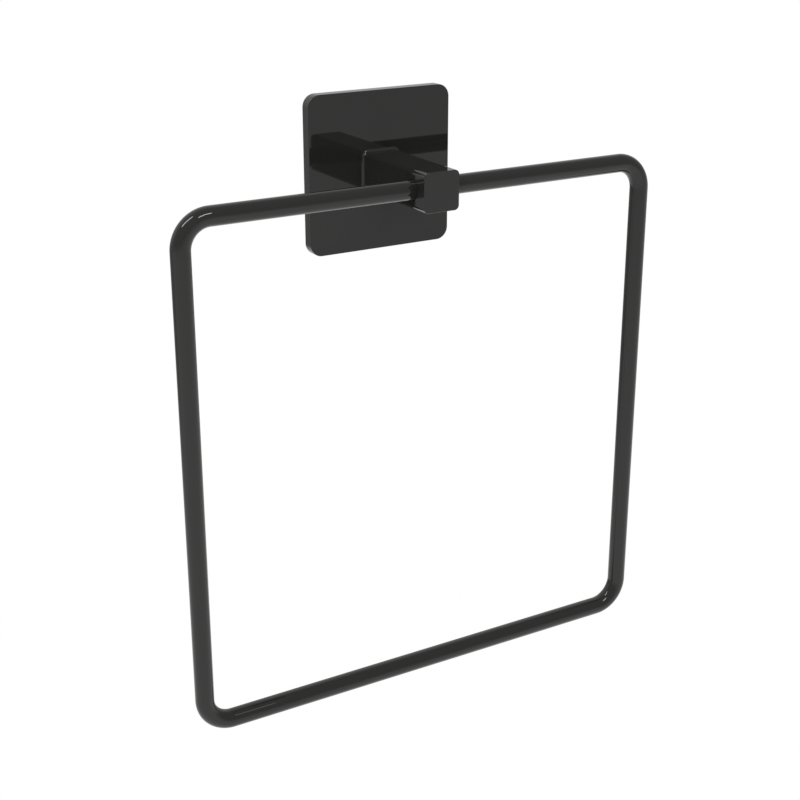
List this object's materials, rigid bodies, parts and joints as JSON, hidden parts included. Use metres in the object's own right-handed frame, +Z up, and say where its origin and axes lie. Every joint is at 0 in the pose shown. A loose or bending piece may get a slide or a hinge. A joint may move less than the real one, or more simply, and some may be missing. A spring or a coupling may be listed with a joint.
{
  "type": "towel ring",
  "caption": "Wall-mounted square towel ring: a bent round rod held in a square arm on a thin square plate.",
  "frame": {"origin": "on the wall, at the centre of the plate's back face and midway between the two wall screw holes", "axes": "+X right as seen from the room, +Y into the wall, +Z up"},
  "size_m": [0.2108, 0.0508, 0.2387],
  "materials": {
    "gloss_black": "mirror gloss black",
    "zinc_plate": "bright zinc plating",
    "black_steel": "black oxide"
  },
  "bodies": {
    "root": {"mounting_post": "gloss_black", "towel_ring": "gloss_black", "wall_bracket": "zinc_plate", "plate_grub_screw": "black_steel", "ring_grub_screw": "black_steel"}
  },
  "joints": []
}
